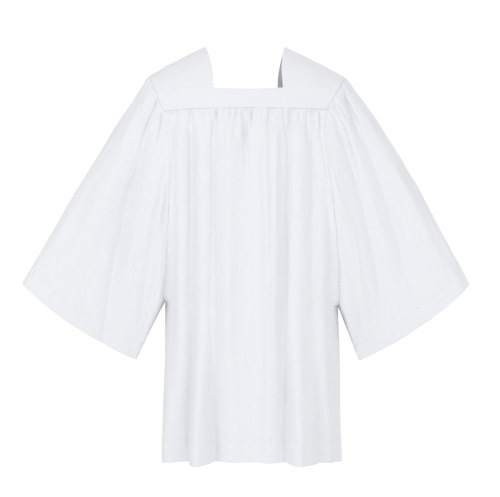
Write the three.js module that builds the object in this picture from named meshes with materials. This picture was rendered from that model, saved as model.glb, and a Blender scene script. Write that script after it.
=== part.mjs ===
import * as THREE from 'three';

// A surplice, filled out as if it were worn: a square-necked yoke on the shoulders, a body
// gathered to it front and back, and two wide sleeves gathered to its sides.
// Millimetres. +Z is up, the front faces -Y, and +X is to the right as the front is seen.
// The origin is midway between the two shoulder points beside the neck.

// Cloth: the wall, the room at a seam, the room that a piece folded sharply under the arm keeps
// instead, and the least share of a piece's direction that a seam's mitre may have
const CLOTH = 2;
const SEAM_ROOM = 0.3;
const UNDERARM_ROOM = 8;
const SHARPEST_SEAM = 0.35;

// Neck and shoulders
const NECK_HALF_WIDTH = 82;
const NECK_LEVEL = -95;
const NECK_DIP = 3;
const NECK_EDGE_BOW = 5;
const SHOULDER_BOW = 2;
const SHOULDER_LEFT = { x: -198, z: -60 };
const SHOULDER_RIGHT = { x: 208, z: -64 };

// The seam between the yoke and the body, which dips at its left end only
const YOKE_SEAM_LEVEL = -137;
const YOKE_SEAM_DIP_LEFT = 4;
const SEAM_DIP_POWER = 4;

// Underarm and hem. The hem drops at the sides, and by a share of what a fold stands out.
const UNDERARM_LEFT_LEVEL = -530;
const UNDERARM_RIGHT_LEVEL = -539;
const HEM_LEVEL = -848;
const HEM_SIDE_DROP = 14;
const HEM_FOLD_SHARE = 0.08;

// The body's sections are a parabola's arch at the yoke and an oval's end below
const ARCH_POWER = 2;
const OVAL_POWER = 2.4;

// Beside each armhole the body stands out towards the sleeve, more the further down, until just
// above the underarm. reach is from the armhole, in a panel that is 2 halfWidth across.
const ARMHOLE_FILL = { rise: 52, reach: 38, halfWidth: 245, growth: 1.3, closing: 90 };

// Folds stand at their full height from these shares of the way down a panel and a sleeve, and
// die out towards a panel's edges
const BODY_FOLD_START = 0.18;
const SLEEVE_FOLD_START = 0.15;
const EDGE_FADE_POWER = 8;

// Sleeves: the ends of the cuff's fold line, on the outer (upper) and inner (lower) side, and
// how far the upper edge bows up between the shoulder and the cuff, mostly near the shoulder
const CUFF_LEFT = { outer: { x: -462, z: -490 }, inner: { x: -226, z: -650 }, crown: 5 };
const CUFF_RIGHT = { outer: { x: 465, z: -493 }, inner: { x: 237, z: -652 }, crown: 13 };
const CUFF_HALF_DEPTH = 54;
const CUFF_FRONT_DROP = 12;
const CUFF_ROUNDNESS = 0.6;
const CUFF_INNER_SHARE = 0.22;
const CUFF_TAPER_POWER = 0.8;
const CROWN_POWER = 0.8;

// Each sleeve is fuller on its inner side, front and back, than the straight way from the body
// to its cuff: from start to full round the sleeve it grows, and from folding it sinks again to
// the fold underneath.
const INNER_SWELL = {
  headRise: 7, midRise: 18, cuffRise: 5, start: 0.5, full: 0.92, folding: 0.95,
};

// Cells. Rows crowd towards the yoke seam, and rings towards the sleeve head. The last row
// beside the armholes is just above the underarm.
const STRAP_COLUMNS = 10;
const BAND_COLUMNS = 18;
const STRAP_ROWS = 5;
const BAND_ROWS = 2;
const ARMHOLE_ROWS = 10;
const LAST_ARMHOLE_LEVEL = 0.97;
const SKIRT_ROWS = 6;
const SLEEVE_ROWS = 9;
const ROW_CROWDING = 1.3;
const RING_CROWDING = 1.15;

// The body's sections. Level 0 is the yoke seam, 1 the underarm and 2 the hem. left and right
// are the panels' edges, edge is how far they stand from the shoulder line's plane, front and
// back how far the middle does, and round is 0 for a shallow curve and 1 for a rounded side.
const bodySections = [
  { level: 0.0, left: -164, right: 167, edge: 82, front: 112, back: 104, round: 0 },
  { level: 0.14, left: -153, right: 160, edge: 84, front: 121, back: 112, round: 0.35 },
  { level: 0.4, left: -153, right: 175, edge: 70, front: 124, back: 118, round: 0.7 },
  { level: 0.67, left: -158, right: 188, edge: 46, front: 122, back: 120, round: 0.9 },
  { level: 0.88, left: -165, right: 192, edge: 20, front: 120, back: 120, round: 1 },
  { level: 1.0, left: -166, right: 193, edge: 0, front: 119, back: 120, round: 1 },
  { level: 1.35, left: -167, right: 198, edge: 0, front: 117, back: 120, round: 1 },
  { level: 1.7, left: -171, right: 199, edge: 0, front: 114, back: 121, round: 1 },
  { level: 2.0, left: -172, right: 202, edge: 0, front: 112, back: 122, round: 1 },
];

// The body's largest folds, left to right. topX, midX and hemX are their places at levels
// 0, 1 and 2. The rises there are above 0 on a ridge and below 0 in a trough, and topWide and
// hemWide are half-widths.
const frontFolds = [
  { topX: -150, midX: -150, hemX: -154, topRise: 2, midRise: 4, hemRise: 12, topWide: 10, hemWide: 13 },
  { topX: -124, midX: -124, hemX: -142, topRise: 4, midRise: 5, hemRise: 2, topWide: 10, hemWide: 14 },
  { topX: -108, midX: -108, hemX: -119, topRise: -6, midRise: -11, hemRise: -16, topWide: 10, hemWide: 11 },
  { topX: -84, midX: -88, hemX: -95, topRise: 2, midRise: 6, hemRise: 44, topWide: 14, hemWide: 21 },
  { topX: -57, midX: -68, hemX: -60, topRise: -6, midRise: -9, hemRise: -20, topWide: 10, hemWide: 12 },
  { topX: -30, midX: -32, hemX: -30, topRise: 4, midRise: 6, hemRise: 4, topWide: 15, hemWide: 18 },
  { topX: 2, midX: 4, hemX: 6, topRise: -8, midRise: -2, hemRise: 0, topWide: 10, hemWide: 16 },
  { topX: 40, midX: 47, hemX: 48, topRise: 5, midRise: 9, hemRise: 8, topWide: 14, hemWide: 16 },
  { topX: 96, midX: 78, hemX: 72, topRise: -9, midRise: -17, hemRise: -26, topWide: 12, hemWide: 12 },
  { topX: 116, midX: 112, hemX: 102, topRise: 5, midRise: 7, hemRise: 40, topWide: 12, hemWide: 22 },
  { topX: 138, midX: 138, hemX: 132, topRise: -5, midRise: -6, hemRise: 16, topWide: 10, hemWide: 16 },
  { topX: 158, midX: 158, hemX: 168, topRise: 2, midRise: 4, hemRise: 8, topWide: 10, hemWide: 13 },
];
const backFolds = [
  { topX: -128, midX: -132, hemX: -136, topRise: -5, midRise: -9, hemRise: -16, topWide: 10, hemWide: 12 },
  { topX: -104, midX: -106, hemX: -104, topRise: 4, midRise: 8, hemRise: 30, topWide: 12, hemWide: 20 },
  { topX: -74, midX: -78, hemX: -72, topRise: -7, midRise: -13, hemRise: -22, topWide: 9, hemWide: 12 },
  { topX: -40, midX: -42, hemX: -38, topRise: 4, midRise: 6, hemRise: 10, topWide: 14, hemWide: 18 },
  { topX: -8, midX: -4, hemX: 2, topRise: -8, midRise: -12, hemRise: -20, topWide: 9, hemWide: 12 },
  { topX: 28, midX: 32, hemX: 34, topRise: 5, midRise: 8, hemRise: 28, topWide: 13, hemWide: 19 },
  { topX: 66, midX: 68, hemX: 72, topRise: -6, midRise: -10, hemRise: -18, topWide: 10, hemWide: 12 },
  { topX: 96, midX: 102, hemX: 108, topRise: 4, midRise: 7, hemRise: 24, topWide: 12, hemWide: 20 },
  { topX: 130, midX: 140, hemX: 148, topRise: -5, midRise: -8, hemRise: -12, topWide: 9, hemWide: 12 },
];

// The sleeves' largest folds. Places round a sleeve run from 0 on its upper edge to 1 at the
// underarm over the front, and to -1 over the back. The rises are at the head, the middle
// and the cuff, and wide is a half-width.
const leftSleeveFolds = [
  { head: 0.24, cuff: 0.42, headRise: 6, midRise: 7, cuffRise: 1, wide: 0.07 },
  { head: 0.38, cuff: 0.66, headRise: -9, midRise: -16, cuffRise: -7, wide: 0.055 },
  { head: 0.46, cuff: 0.8, headRise: 5, midRise: 5, cuffRise: 0, wide: 0.05 },
  { head: 0.68, cuff: 0.94, headRise: 8, midRise: 5, cuffRise: 0, wide: 0.06 },
  { head: -0.22, cuff: -0.34, headRise: 5, midRise: 5, cuffRise: 2, wide: 0.07 },
  { head: -0.33, cuff: -0.52, headRise: -8, midRise: -9, cuffRise: -3, wide: 0.055 },
  { head: -0.5, cuff: -0.78, headRise: 5, midRise: 4, cuffRise: 1, wide: 0.06 },
];
const rightSleeveFolds = [
  { head: 0.16, cuff: 0.22, headRise: 5, midRise: 5, cuffRise: 1, wide: 0.06 },
  { head: 0.25, cuff: 0.42, headRise: -8, midRise: -9, cuffRise: -2, wide: 0.05 },
  { head: 0.33, cuff: 0.55, headRise: 5, midRise: 5, cuffRise: 1, wide: 0.05 },
  { head: 0.41, cuff: 0.7, headRise: -9, midRise: -11, cuffRise: -4, wide: 0.05 },
  { head: 0.62, cuff: 0.94, headRise: 7, midRise: 5, cuffRise: 0, wide: 0.065 },
  { head: -0.2, cuff: -0.3, headRise: 5, midRise: 6, cuffRise: 2, wide: 0.07 },
  { head: -0.32, cuff: -0.56, headRise: -8, midRise: -10, cuffRise: -3, wide: 0.055 },
  { head: -0.5, cuff: -0.82, headRise: 5, midRise: 4, cuffRise: 1, wide: 0.06 },
];

// The two faces of the garment. out is the side it stands on, and the neck corners are where
// the square neck turns.
const FRONT = { out: -1, depth: 'front', neckLeft: -63, neckRight: 77, folds: frontFolds };
const BACK = { out: 1, depth: 'back', neckLeft: -70, neckRight: 70, folds: backFolds };

const { lerp, clamp, smoothstep, inverseLerp } = THREE.MathUtils;

// The slope of a column at row i of a table.
function slope(rows, column, i) {
  const before = rows[Math.max(i - 1, 0)];
  const after = rows[Math.min(i + 1, rows.length - 1)];
  return (after[column] - before[column]) / (after.level - before.level);
}

// Reads a column of a table at any level, on a smooth curve through its rows.
function read(rows, column, level) {
  let i = 0;
  while (i < rows.length - 2 && level > rows[i + 1].level) {
    i += 1;
  }
  const a = rows[i];
  const b = rows[i + 1];
  const span = b.level - a.level;
  const t = clamp((level - a.level) / span, 0, 1);
  const ease = smoothstep(t, 0, 1);
  const leave = slope(rows, column, i) * t * (1 - t) * (1 - t);
  const arrive = slope(rows, column, i + 1) * t * t * (1 - t);
  return lerp(a[column], b[column], ease) + span * (leave - arrive);
}

// Goes from start to middle to end as level goes from 0 to 1 to 2.
function ease3(level, start, middle, end) {
  if (level < 1) {
    return lerp(start, middle, smoothstep(level, 0, 1));
  }
  return lerp(middle, end, smoothstep(level, 1, 2));
}

// Across is -1 at a panel's left edge and 1 at its right edge.
function half(across) {
  return (across + 1) / 2;
}

// The place of x between a face's edges along the yoke seam.
function acrossSeam(x) {
  const { left, right } = bodySections[0];
  return 2 * inverseLerp(left, right, x) - 1;
}

// The columns of a face: the left strap, the band under the neck and the right strap.
function columns(face) {
  const left = acrossSeam(face.neckLeft);
  const right = acrossSeam(face.neckRight);
  const list = [];
  for (let i = 0; i < STRAP_COLUMNS; i += 1) {
    list.push(lerp(-1, left, i / STRAP_COLUMNS));
  }
  for (let i = 0; i < BAND_COLUMNS; i += 1) {
    list.push(lerp(left, right, i / BAND_COLUMNS));
  }
  for (let i = 0; i <= STRAP_COLUMNS; i += 1) {
    list.push(lerp(right, 1, i / STRAP_COLUMNS));
  }
  return list;
}

// The height of the body at a level. The hem hangs a little lower where a fold stands out.
function bodyHeight(level, across, rise) {
  const seam = YOKE_SEAM_LEVEL - YOKE_SEAM_DIP_LEFT * Math.max(-across, 0) ** SEAM_DIP_POWER;
  const underarm = lerp(UNDERARM_LEFT_LEVEL, UNDERARM_RIGHT_LEVEL, half(across));
  const hem = HEM_LEVEL - HEM_SIDE_DROP * across ** 2 - HEM_FOLD_SHARE * Math.max(rise, 0);
  if (level < 1) {
    return lerp(seam, underarm, level);
  }
  return lerp(underarm, hem, level - 1);
}

// How far the folds raise or sink the cloth at a place. They start flat at the yoke seam.
function bodyFold(folds, level, x, across) {
  let rise = 0;
  for (const fold of folds) {
    const place = ease3(level, fold.topX, fold.midX, fold.hemX);
    const wide = lerp(fold.topWide, fold.hemWide, level / 2);
    const high = ease3(level, fold.topRise, fold.midRise, fold.hemRise);
    rise += high * Math.exp(-(((x - place) / wide) ** 2));
  }
  return rise * smoothstep(level, 0, BODY_FOLD_START) * (1 - Math.abs(across) ** EDGE_FADE_POWER);
}

// How far the body stands out beside the armholes.
function armholeFill(level, across) {
  const down = clamp(level, 0, 1);
  const high = ARMHOLE_FILL.rise * down ** ARMHOLE_FILL.growth * (1 - down ** ARMHOLE_FILL.closing);
  const inside = ARMHOLE_FILL.halfWidth * (1 - Math.abs(across));
  return high * Math.exp(-((inside / ARMHOLE_FILL.reach) ** 2));
}

// A point on the front or back panel.
function bodyPoint(face, level, across) {
  const round = read(bodySections, 'round', level);
  const place = lerp(across, Math.sin((across * Math.PI) / 2), round);
  const edge = Math.max(read(bodySections, 'edge', level), 0);
  const middle = read(bodySections, face.depth, level);
  const power = lerp(ARCH_POWER, OVAL_POWER, round);
  const belly = (1 - Math.abs(place) ** power) ** lerp(1, 1 / 2, round);
  const x = lerp(read(bodySections, 'left', level), read(bodySections, 'right', level), half(place));
  const rise = bodyFold(face.folds, level, x, across);
  const sideways = place ** 3;
  const fill = armholeFill(level, across);
  const y = lerp(edge, middle, belly) + rise * Math.sqrt(1 - sideways ** 2) + fill;
  return new THREE.Vector3(x + rise * sideways, face.out * y, bodyHeight(level, across, rise));
}

// The front or back panel's points, from the yoke seam down to the hem.
function panelPoints(face) {
  const rows = [];
  for (let i = 0; i <= ARMHOLE_ROWS + SKIRT_ROWS; i += 1) {
    const upper = LAST_ARMHOLE_LEVEL * (i / (ARMHOLE_ROWS - 1)) ** ROW_CROWDING;
    const lower = 1 + (i - ARMHOLE_ROWS) / SKIRT_ROWS;
    const level = i < ARMHOLE_ROWS ? upper : lower;
    rows.push(columns(face).map((across) => bodyPoint(face, level, across)));
  }
  return rows;
}

// A yoke's points, from the shoulder line over the shoulder to the seam. Each column is a
// quarter of an ellipse seen from the side. The rows over the neck belong to the straps only.
function yokePoints(face) {
  const neckLeft = acrossSeam(face.neckLeft);
  const neckRight = acrossSeam(face.neckRight);
  const rows = [];
  for (let i = 0; i <= STRAP_ROWS + BAND_ROWS; i += 1) {
    rows.push([]);
  }
  for (const across of columns(face)) {
    const seam = bodyPoint(face, 0, across);
    const onLeft = across < (neckLeft + neckRight) / 2;
    const shoulder = onLeft ? SHOULDER_LEFT : SHOULDER_RIGHT;
    const tip = onLeft ? -1 : 1;
    const strap = clamp(inverseLerp(tip, onLeft ? neckLeft : neckRight, across), 0, 1);
    const top = lerp(shoulder.z, 0, strap) + SHOULDER_BOW * Math.sin(Math.PI * strap);
    const topX = lerp(shoulder.x, tip * NECK_HALF_WIDTH, strap);
    const band = 2 * inverseLerp(neckLeft, neckRight, across) - 1;
    const dip = NECK_DIP * Math.max(1 - band ** 2, 0);
    const neck = NECK_LEVEL - dip;
    const cornerAt = bodySections[0][onLeft ? 'left' : 'right'];
    const sideX = lerp(shoulder.x, cornerAt, (shoulder.z - neck) / (shoulder.z - seam.z));
    const cornerX = onLeft ? face.neckLeft : face.neckRight;
    const neckX = strap < 1 ? lerp(sideX, cornerX, strap) : seam.x;
    const neckTurn = Math.acos(1 - (top - neck) / (top - seam.z));
    for (let i = 0; i <= STRAP_ROWS + BAND_ROWS; i += 1) {
      const above = (neckTurn * i) / STRAP_ROWS;
      const below = lerp(neckTurn, Math.PI / 2, (i - STRAP_ROWS) / BAND_ROWS);
      const turn = i < STRAP_ROWS ? above : below;
      const z = top - (top - seam.z) * (1 - Math.cos(turn));
      const down = (top - z) / (top - neck);
      const bow = tip * NECK_EDGE_BOW * strap ** 4 * Math.sin(Math.PI * down);
      const onStrap = lerp(topX, neckX, down) - bow;
      const onBand = lerp(neckX, seam.x, (neck - z) / (neck - seam.z));
      const x = i < STRAP_ROWS ? onStrap : onBand;
      rows[i].push(new THREE.Vector3(x, seam.y * Math.sin(turn), z));
    }
  }
  return rows;
}

// The half-depth of a cuff at an angle that runs from 0 at its outer end to pi at its inner
// one: round over the arm and narrow at the fold underneath.
function cuffHalfDepth(angle) {
  const taper = lerp(CUFF_INNER_SHARE, 1, ((1 + Math.cos(angle)) / 2) ** CUFF_TAPER_POWER);
  return CUFF_HALF_DEPTH * Math.abs(Math.sin(angle)) ** CUFF_ROUNDNESS * taper;
}

// A point on a cuff's edge. Round is 0 on the outer end, 1 on the inner one over the front and
// -1 over the back.
function cuffPoint(cuff, round) {
  const angle = Math.PI * Math.abs(round);
  const along = (1 - Math.cos(angle)) / 2;
  const width = Math.hypot(cuff.inner.x - cuff.outer.x, cuff.inner.z - cuff.outer.z);
  const drop = CUFF_FRONT_DROP * Math.sin(angle) ** 2;
  const side = Math.sign(cuff.inner.x);
  const dropX = (side * drop * (cuff.outer.z - cuff.inner.z)) / width;
  const dropZ = (drop * Math.abs(cuff.outer.x - cuff.inner.x)) / width;
  return new THREE.Vector3(
    lerp(cuff.outer.x, cuff.inner.x, along) + dropX,
    -Math.sign(round) * cuffHalfDepth(angle),
    lerp(cuff.outer.z, cuff.inner.z, along) - dropZ,
  );
}

// The edge of the armhole, all round: from the shoulder down the front to the underarm, and up
// the back. column picks a row's first or last point.
function armholeEdge(frontYoke, frontPanel, backYoke, backPanel, column) {
  const down = (yoke, panel) => [
    ...yoke.map((row) => row.at(column)),
    ...panel.slice(1, ARMHOLE_ROWS + 1).map((row) => row.at(column)),
  ];
  const front = down(frontYoke, frontPanel);
  const back = down(backYoke, backPanel);
  return [...front, ...back.slice(1, -1).reverse()];
}

// How far a sleeve's inner side is fuller than the straight way from the body to the cuff.
function innerSwell(along, round) {
  const high = ease3(2 * along, INNER_SWELL.headRise, INNER_SWELL.midRise, INNER_SWELL.cuffRise);
  return high * smoothstep(Math.abs(round), INNER_SWELL.start, INNER_SWELL.full);
}

// A sleeve's points: rings from the armhole to the cuff.
function sleevePoints(armhole, cuff, folds) {
  const around = armhole.length;
  const fall = new THREE.Vector3(cuff.outer.x - armhole[0].x, 0, cuff.outer.z - armhole[0].z).normalize();
  const crown = new THREE.Vector3(fall.z * Math.sign(-cuff.outer.x), 0, Math.abs(fall.x));
  const rings = [];
  for (let i = 0; i <= SLEEVE_ROWS; i += 1) {
    const along = (i / SLEEVE_ROWS) ** RING_CROWDING;
    const ring = [];
    for (let j = 0; j < around; j += 1) {
      const round = j <= around / 2 ? (2 * j) / around : (2 * j) / around - 2;
      const point = armhole[j].clone().lerp(cuffPoint(cuff, round), along);
      const bow = Math.sin(Math.PI * along ** CROWN_POWER);
      const lift = cuff.crown * bow * Math.cos((Math.PI * round) / 2) ** 2;
      point.addScaledVector(crown, lift);
      let rise = innerSwell(along, round);
      for (const fold of folds) {
        const place = lerp(fold.head, fold.cuff, along);
        const high = ease3(2 * along, fold.headRise, fold.midRise, fold.cuffRise);
        rise += high * Math.exp(-(((round - place) / fold.wide) ** 2));
      }
      const folded = smoothstep(Math.abs(round), INNER_SWELL.folding, 1);
      point.y -= Math.sign(round) * rise * smoothstep(along, 0, SLEEVE_FOLD_START) * (1 - folded);
      ring.push(point);
    }
    rings.push(ring);
  }
  return rings;
}

// A sheet is a grid of points with a direction out of the cloth at each. out is 1 where rows
// crossed with columns already point out of the garment. kept says which cells are cloth.
function makeSheet(name, points, out, wraps, kept = () => true) {
  const rows = points.length;
  const count = points[0].length;
  const at = (i, j) => {
    const row = clamp(i, 0, rows - 1);
    const column = wraps ? (j + count) % count : clamp(j, 0, count - 1);
    return points[row][column];
  };
  const used = (i, j) => {
    const inside = i >= 0 && i < rows - 1 && (wraps || (j >= 0 && j < count - 1));
    return inside && kept(i, (j + count) % count);
  };
  const directions = points.map((row, i) => row.map((point, j) => {
    const rowStep = new THREE.Vector3();
    const columnStep = new THREE.Vector3();
    for (const [di, dj] of [[0, 0], [0, -1], [-1, 0], [-1, -1]]) {
      if (used(i + di, j + dj)) {
        rowStep.add(at(i + di + 1, j)).sub(at(i + di, j));
        columnStep.add(at(i, j + dj + 1)).sub(at(i, j + dj));
      }
    }
    return rowStep.cross(columnStep).multiplyScalar(out).normalize();
  }));
  return { name, points, directions, out, wraps, used };
}

// The way from an edge point into its own sheet, square to the edge.
function inward(sheet, i, j) {
  const { points, wraps } = sheet;
  const lastRow = points.length - 1;
  const lastColumn = points[0].length - 1;
  const step = new THREE.Vector3();
  const add = (row, column) => step.add(points[row][column].clone().sub(points[i][j]).normalize());
  if (i === 0) {
    add(1, j);
  }
  if (i === lastRow) {
    add(i - 1, j);
  }
  if (!wraps && j === 0) {
    add(i, 1);
  }
  if (!wraps && j === lastColumn) {
    add(i, j - 1);
  }
  const onRowEnd = i === 0 || i === lastRow;
  const onColumnEnd = !wraps && (j === 0 || j === lastColumn);
  if (onRowEnd !== onColumnEnd) {
    const before = onRowEnd ? points[i].at(j - 1) : points[i - 1][j];
    const after = onRowEnd ? points[i][(j + 1) % points[0].length] : points[i + 1][j];
    const edge = after.clone().sub(before).normalize();
    step.addScaledVector(edge, -step.dot(edge));
  }
  return step.normalize();
}

// Sews sheets: where they share a point, all turn to the one mitre between them, and each
// draws back so that their walls end side by side with the seam's room between. A sheet that
// meets the others too sharply, as a sleeve's lower fold does under the arm, stops short.
function sew(sheets) {
  const shared = new Map();
  for (const sheet of sheets) {
    sheet.points.forEach((row, i) => row.forEach((point, j) => {
      const cells = [[0, 0], [0, -1], [-1, 0], [-1, -1]];
      if (cells.some(([di, dj]) => sheet.used(i + di, j + dj))) {
        const key = point.toArray().map((value) => Math.round(value * 100)).join(' ');
        const place = { sheet, i, j, direction: sheet.directions[i][j], into: inward(sheet, i, j) };
        shared.set(key, [...(shared.get(key) ?? []), place]);
      }
    }));
  }
  const total = (places) => places.reduce((sum, place) => sum.add(place.direction), new THREE.Vector3());
  for (const places of shared.values()) {
    if (places.length > 1) {
      const common = total(places).normalize();
      const sewn = places.filter((place) => place.direction.dot(common) > SHARPEST_SEAM);
      const mitre = total(sewn);
      mitre.multiplyScalar(sewn.length / mitre.lengthSq());
      for (const place of places) {
        const { sheet, i, j, direction, into } = place;
        const joins = sewn.includes(place);
        const room = joins ? (SEAM_ROOM / 2) * mitre.length() : UNDERARM_ROOM;
        sheet.directions[i][j] = joins ? mitre : direction;
        sheet.points[i][j] = sheet.points[i][j].clone().addScaledVector(into, room);
      }
    }
  }
}

// Closes a sheet into a wall of cloth: an outer and an inner face, and a rim round its edges.
function wall(sheet) {
  const { points, directions, out, wraps, used } = sheet;
  const count = points[0].length;
  const positions = [];
  const index = [];
  const numbers = new Map();
  const vertex = (i, j, face) => {
    const column = (j + count) % count;
    const key = `${i} ${column} ${face}`;
    if (!numbers.has(key)) {
      numbers.set(key, numbers.size);
      const point = points[i][column].clone().addScaledVector(directions[i][column], (face * CLOTH) / 2);
      positions.push(...point.toArray());
    }
    return numbers.get(key);
  };
  const quad = (a, b, c, d) => {
    if (out > 0) {
      index.push(a, b, c, a, c, d);
    } else {
      index.push(a, c, b, a, d, c);
    }
  };
  const lastColumn = wraps ? count : count - 1;
  for (let i = 0; i < points.length - 1; i += 1) {
    for (let j = 0; j < lastColumn; j += 1) {
      if (used(i, j)) {
        const corners = [[i, j], [i + 1, j], [i + 1, j + 1], [i, j + 1]];
        const outer = corners.map(([row, column]) => vertex(row, column, 1));
        const inner = corners.map(([row, column]) => vertex(row, column, -1));
        quad(outer[0], outer[1], outer[2], outer[3]);
        quad(inner[0], inner[3], inner[2], inner[1]);
        const beyond = [[i, j - 1], [i + 1, j], [i, j + 1], [i - 1, j]];
        beyond.forEach(([row, column], n) => {
          const next = (n + 1) % 4;
          if (!used(row, column)) {
            const [startRow, startColumn] = corners[n];
            const [endRow, endColumn] = corners[next];
            const start = points[startRow][startColumn % count];
            const end = points[endRow][endColumn % count];
            if (end.z > start.z) {
              quad(outer[next], outer[n], inner[n], inner[next]);
            } else {
              quad(outer[n], inner[n], inner[next], outer[next]);
            }
          }
        });
      }
    }
  }
  const geometry = new THREE.BufferGeometry();
  geometry.setAttribute('position', new THREE.Float32BufferAttribute(positions, 3));
  geometry.setIndex(index);
  geometry.computeVertexNormals();
  return geometry;
}

const strapOrBand = (i, j) => i >= STRAP_ROWS || j < STRAP_COLUMNS || j >= STRAP_COLUMNS + BAND_COLUMNS;

const frontYoke = yokePoints(FRONT);
const backYoke = yokePoints(BACK);
const frontPanel = panelPoints(FRONT);
const backPanel = panelPoints(BACK);
const leftArmhole = armholeEdge(frontYoke, frontPanel, backYoke, backPanel, 0);
const rightArmhole = armholeEdge(frontYoke, frontPanel, backYoke, backPanel, -1);
const leftSleeve = sleevePoints(leftArmhole, CUFF_LEFT, leftSleeveFolds);
const rightSleeve = sleevePoints(rightArmhole, CUFF_RIGHT, rightSleeveFolds);

const sheets = [
  makeSheet('front_yoke', frontYoke, 1, false, strapOrBand),
  makeSheet('back_yoke', backYoke, -1, false, strapOrBand),
  makeSheet('front_panel', frontPanel, 1, false),
  makeSheet('back_panel', backPanel, -1, false),
  makeSheet('sleeve_left', leftSleeve, 1, true),
  makeSheet('sleeve_right', rightSleeve, -1, true),
];
sew(sheets);

const surplice = new THREE.Group();
for (const sheet of sheets) {
  const cloth = new THREE.MeshStandardMaterial({ color: 0xeceef2, roughness: 0.9, metalness: 0 });
  const mesh = new THREE.Mesh(wall(sheet), cloth);
  mesh.name = sheet.name;
  surplice.add(mesh);
}

export default surplice;
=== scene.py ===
from math import pi

import bpy
import numpy as np
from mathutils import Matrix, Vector


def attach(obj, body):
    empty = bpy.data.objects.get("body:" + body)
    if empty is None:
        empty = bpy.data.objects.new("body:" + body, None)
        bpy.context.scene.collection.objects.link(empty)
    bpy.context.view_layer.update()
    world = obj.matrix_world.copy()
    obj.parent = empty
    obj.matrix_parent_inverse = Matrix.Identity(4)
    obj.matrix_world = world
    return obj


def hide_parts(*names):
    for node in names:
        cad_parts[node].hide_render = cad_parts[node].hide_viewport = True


# A surplice of white poplin, filled out as if it were worn. It is made in millimetres here, in the
# frame's own axes: +Z up, the front faces -Y, and +X is to the right as the front is seen.
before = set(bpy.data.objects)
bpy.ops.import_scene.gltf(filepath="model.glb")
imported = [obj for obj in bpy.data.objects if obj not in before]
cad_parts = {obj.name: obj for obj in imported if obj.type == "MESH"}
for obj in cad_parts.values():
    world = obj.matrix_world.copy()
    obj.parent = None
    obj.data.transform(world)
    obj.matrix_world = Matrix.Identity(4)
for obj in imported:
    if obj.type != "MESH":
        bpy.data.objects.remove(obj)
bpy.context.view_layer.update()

# ---------------------------------------------------------------------------------------------
# Yokes. A front and a back yoke cut from the same poplin, with a square neck. They are seamed to
# each other along the shoulders, and the neck edge all round is turned in once and stitched.
# ---------------------------------------------------------------------------------------------

MM = 0.001
CLOTH = 0.6
SEAM_GAP = 0.06

NECK_HALF_WIDTH = 82
NECK_LEVEL = -95
NECK_DIP = 3
NECK_EDGE_BOW = 5
NECK_TURNING = 8
NECK_STITCH = 5.5
STITCH_LENGTH = 2.8
STITCH_GAP = 0.5
THREAD_WIDTH = 0.5
SHOULDER_BOW = 2
SHOULDER_TIPS = {-1: (-198, -60), 1: (208, -64)}
YOKE_ENDS = (-164, 167)
YOKE_EDGE_DEPTH = 82
YOKE_SEAM_LEVEL = -137
YOKE_SEAM_DIP_LEFT = 4
SEAM_ALLOWANCE = 8
SEAM_RIDGE = 0.6
PRESSED_CREASE = 0.7
STRAP_LENGTH = 138
BAND_HEIGHT = 42
BESIDE_SEAM = (SEAM_GAP / 2, 0.7, 1.4, 2.4, 4)
SEAM_SINK = 0.4

# Out is the side that a face is on along Y, neck is where the neck's corners stand along X, and
# yoke_depth is how far the middle of the yoke's lower edge stands from the shoulders' plane.
front = {"name": "front", "out": -1, "neck": (-63, 77), "yoke_depth": 112}
back = {"name": "back", "out": 1, "neck": (-70, 70), "yoke_depth": 104}


def lerp(a, b, share):
    return a + (b - a) * share


def smoothstep(start, end, value):
    share = np.clip((value - start) / (end - start), 0, 1)
    return share * share * (3 - 2 * share)


def bump(distance, half_width):
    """A soft ridge's height, from 1 on its line to nothing."""
    return np.exp(-((distance / half_width) ** 2))


def stations(length, steps, start=(0,), end=(0,)):
    """Distances along a length: marks near its start, even steps, and marks near its end."""
    length = np.asarray(length, float)
    room = length - start[-1] - end[-1]
    marks = [mark + 0 * length for mark in start]
    marks += [start[-1] + room * share for share in np.linspace(0, 1, steps + 1)[1:-1]]
    return np.array(marks + [length - mark for mark in reversed(end)])


def dip(distance, deep, wide):
    """How far the cloth sinks toward an edge or a seam, at a distance from it."""
    return -deep * bump(distance, wide)


def waves(across, down, wide, long, seed):
    """The slow uneven waves that handled cloth keeps, as long as long and as wide as wide."""
    draw = np.random.default_rng(seed)
    count = 14
    total = 0
    for _ in range(count):
        turn = draw.uniform(-1.3, 1.3)
        phase = draw.uniform(0, 2 * pi)
        reach = draw.uniform(0.7, 1.5)
        place = across * np.cos(turn) / wide + down * np.sin(turn) / long
        total = total + np.sin(2 * pi * place / reach + phase)
    return total / np.sqrt(count)


def normals(points, facing):
    """The direction out of the cloth. Facing is 1 where rows crossed with columns point out."""
    cross = np.cross(np.gradient(points, axis=0), np.gradient(points, axis=1)) * facing
    return cross / np.maximum(np.linalg.norm(cross, axis=2, keepdims=True), 1e-9)


def neck_corners(face):
    """Where the neck's corners stand along the yoke seam, from -1 at its left end to 1."""
    return [2 * (x - YOKE_ENDS[0]) / (YOKE_ENDS[1] - YOKE_ENDS[0]) - 1 for x in face["neck"]]


def yoke_seam(face, across):
    """The seam between yoke and body. Across is -1 at its left end and 1 at its right end."""
    x = lerp(YOKE_ENDS[0], YOKE_ENDS[1], (across + 1) / 2)
    y = lerp(YOKE_EDGE_DEPTH, face["yoke_depth"], 1 - across**2)
    z = YOKE_SEAM_LEVEL - YOKE_SEAM_DIP_LEFT * np.maximum(-across, 0) ** 4
    return x, y, z


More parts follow.
